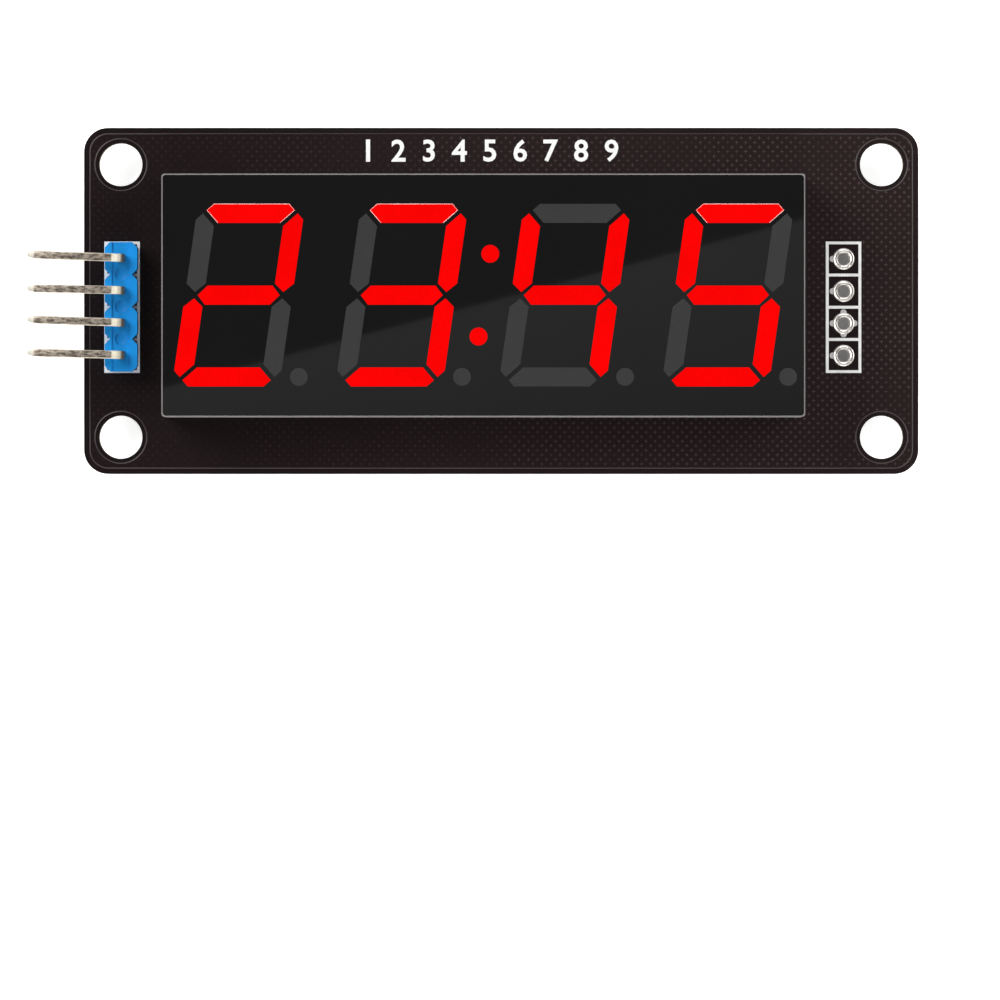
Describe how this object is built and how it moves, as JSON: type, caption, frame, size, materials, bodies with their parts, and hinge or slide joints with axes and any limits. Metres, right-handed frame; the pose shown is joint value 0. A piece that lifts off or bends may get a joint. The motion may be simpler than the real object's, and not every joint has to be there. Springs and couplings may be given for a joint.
{
  "type": "seven segment display module",
  "caption": "Black circuit board that carries a slanted seven segment clock display, a driver chip on its rear and a right angle pin header at one end.",
  "frame": {"origin": "centre of the four mounting holes, on the rear face of the circuit board", "axes": "+X along the board from the pin header to the spare pads, +Y to the top of the digits, +Z out of the display's face. It lies on its back on the driver chip."},
  "size_m": [0.0701, 0.0274, 0.0122],
  "materials": {
    "board_mask": "satin",
    "tinned_copper": "satin",
    "white_print": "matte",
    "red_print": "matte",
    "housing_plastic": "matte",
    "face_film": "gloss",
    "lit_resin": "satin",
    "dark_resin": "satin",
    "light_chip": "satin",
    "carrier_laminate": "satin",
    "potting_resin": "satin",
    "pin_tin": "satin",
    "solder": "gloss",
    "header_plastic": "satin",
    "chip_plastic": "matte",
    "lead_tin": "satin",
    "tan_ceramic": "satin",
    "end_metal": "satin",
    "resistor_black": "satin",
    "light_base": "satin",
    "light_lens": "gloss"
  },
  "bodies": {
    "root": {"circuit_board": "board_mask", "board_plating": "tinned_copper", "surface_lands": "tinned_copper", "front_print": "white_print", "rear_print": "white_print", "colour_mark": "red_print", "display_housing": "housing_plastic", "display_face_film": "face_film", "colon_dots": "lit_resin", "decimal_points": "dark_resin", "light_chips": "light_chip", "light_carrier_board": "carrier_laminate", "display_potting": "potting_resin", "display_pins": "pin_tin", "display_solder": "solder", "header_insulator": "header_plastic", "header_solder": "solder", "driver_chip_body": "chip_plastic", "driver_chip_leads": "lead_tin", "driver_chip_solder": "solder", "capacitor_bodies": "tan_ceramic", "capacitor_ends": "end_metal", "resistor_bodies": "resistor_black", "resistor_ends": "end_metal", "power_light_base": "light_base", "power_light_lens": "light_lens", "small_part_solder": "solder", "header_pin_1": "pin_tin", "header_pin_2": "pin_tin", "header_pin_3": "pin_tin", "header_pin_4": "pin_tin", "digit_1_segment_a": "lit_resin", "digit_1_segment_b": "lit_resin", "digit_1_segment_c": "dark_resin", "digit_1_segment_d": "lit_resin", "digit_1_segment_e": "lit_resin", "digit_1_segment_f": "dark_resin", "digit_1_segment_g": "lit_resin", "digit_2_segment_a": "lit_resin", "digit_2_segment_b": "lit_resin", "digit_2_segment_c": "lit_resin", "digit_2_segment_d": "lit_resin", "digit_2_segment_e": "dark_resin", "digit_2_segment_f": "dark_resin", "digit_2_segment_g": "lit_resin", "digit_3_segment_a": "dark_resin", "digit_3_segment_b": "lit_resin", "digit_3_segment_c": "lit_resin", "digit_3_segment_d": "dark_resin", "digit_3_segment_e": "dark_resin", "digit_3_segment_f": "lit_resin", "digit_3_segment_g": "lit_resin", "digit_4_segment_a": "lit_resin", "digit_4_segment_b": "dark_resin", "digit_4_segment_c": "lit_resin", "digit_4_segment_d": "lit_resin", "digit_4_segment_e": "dark_resin", "digit_4_segment_f": "lit_resin", "digit_4_segment_g": "lit_resin"}
  },
  "joints": []
}
